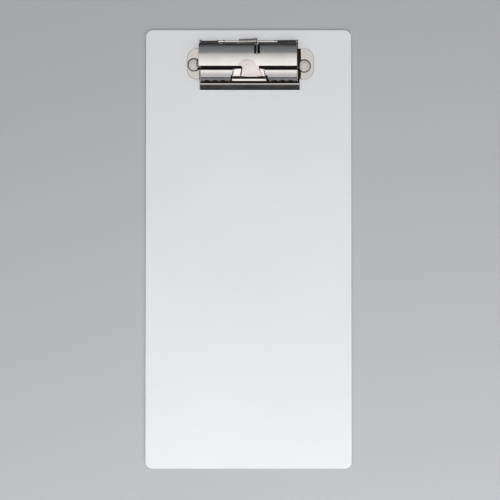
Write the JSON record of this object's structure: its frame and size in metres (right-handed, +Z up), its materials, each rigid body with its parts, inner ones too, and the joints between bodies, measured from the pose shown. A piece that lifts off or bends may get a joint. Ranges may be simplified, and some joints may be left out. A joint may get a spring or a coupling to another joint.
{
  "type": "clipboard",
  "caption": "Narrow flat clipboard with a riveted, spring-loaded metal clip whose toothed jaw lifts on a rear hinge pin to take paper slips.",
  "frame": {"origin": "centre of the board's back face, on the surface that the board rests on", "axes": "+X across the board, +Y along the board towards the clip, +Z up out of the writing face"},
  "size_m": [0.1, 0.213, 0.0103],
  "materials": {
    "board_aluminium": "satin anodised",
    "nickel_plate": "bright nickel plated steel",
    "rivet_steel": "plated steel",
    "pin_steel": "drawn steel",
    "spring_wire": "zinc plated spring wire"
  },
  "bodies": {
    "base": {"board": "board_aluminium", "clip_base": "nickel_plate", "rivet_left": "rivet_steel", "rivet_right": "rivet_steel", "hinge_pin": "pin_steel", "torsion_spring": "spring_wire"},
    "jaw": {"toothed_jaw": "nickel_plate", "jaw_cover": "nickel_plate"}
  },
  "joints": [
    {"name": "jaw_hinge", "type": "hinge", "parent": "base", "child": "jaw", "pos_m": [0, 0.1004, 0.0036], "axis": [-1, 0, 0], "range_deg": [0, 60], "stiffness_Nm_per_rad": 0.08, "springref_deg": -68.75, "deforming": ["torsion_spring"]}
  ]
}
